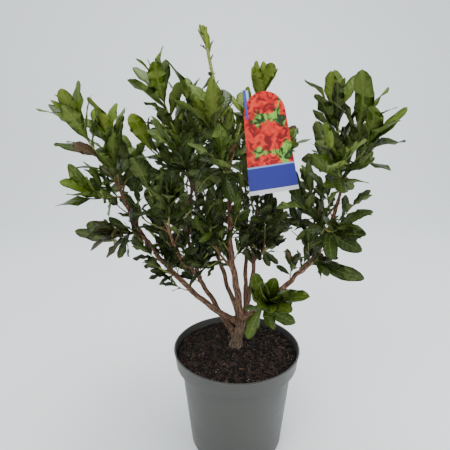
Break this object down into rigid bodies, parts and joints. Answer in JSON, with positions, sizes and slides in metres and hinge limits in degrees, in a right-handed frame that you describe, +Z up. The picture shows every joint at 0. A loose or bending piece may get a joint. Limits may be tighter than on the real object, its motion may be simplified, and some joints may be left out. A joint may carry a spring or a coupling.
{
  "type": "potted azalea shrub",
  "caption": "Young azalea shrub in a round nursery pot, with a label strapped to one shoot.",
  "frame": {"origin": "middle of the pot's flat underside", "axes": "+Z up along the pot's axis, -Y towards the front, where the label shows, +X to the right as seen from the front"},
  "size_m": [0.4827, 0.4505, 0.6797],
  "materials": {
    "pot": "satin moulded plastic",
    "soil": "moist crumbly compost with bark chips",
    "bark": "thin flaking bark",
    "leaf": "soft matt leaf",
    "label": "smooth printed sheet"
  },
  "bodies": {
    "root": {"pot": "pot", "soil": "soil", "trunk": "bark", "middle_bough": "bark", "left_bough": "bark", "right_bough": "bark", "left_inner_bough": "bark", "right_inner_bough": "bark", "back_left_bough": "bark", "back_bough": "bark", "front_left_bough": "bark", "left_crown": "leaf", "left_low": "leaf", "left_spur": "leaf", "middle_left_crown": "leaf", "front_left_mass": "leaf", "left_inner_low": "leaf", "leader_mass": "leaf", "central_low": "leaf", "right_inner_crown": "leaf", "right_inner_low": "leaf", "low_whorl": "leaf", "right_crown": "leaf", "right_mid": "leaf", "right_low": "leaf", "back_left_mass": "leaf", "back_left_low": "leaf", "back_mass": "leaf", "back_low": "leaf", "label": "label"}
  },
  "joints": []
}
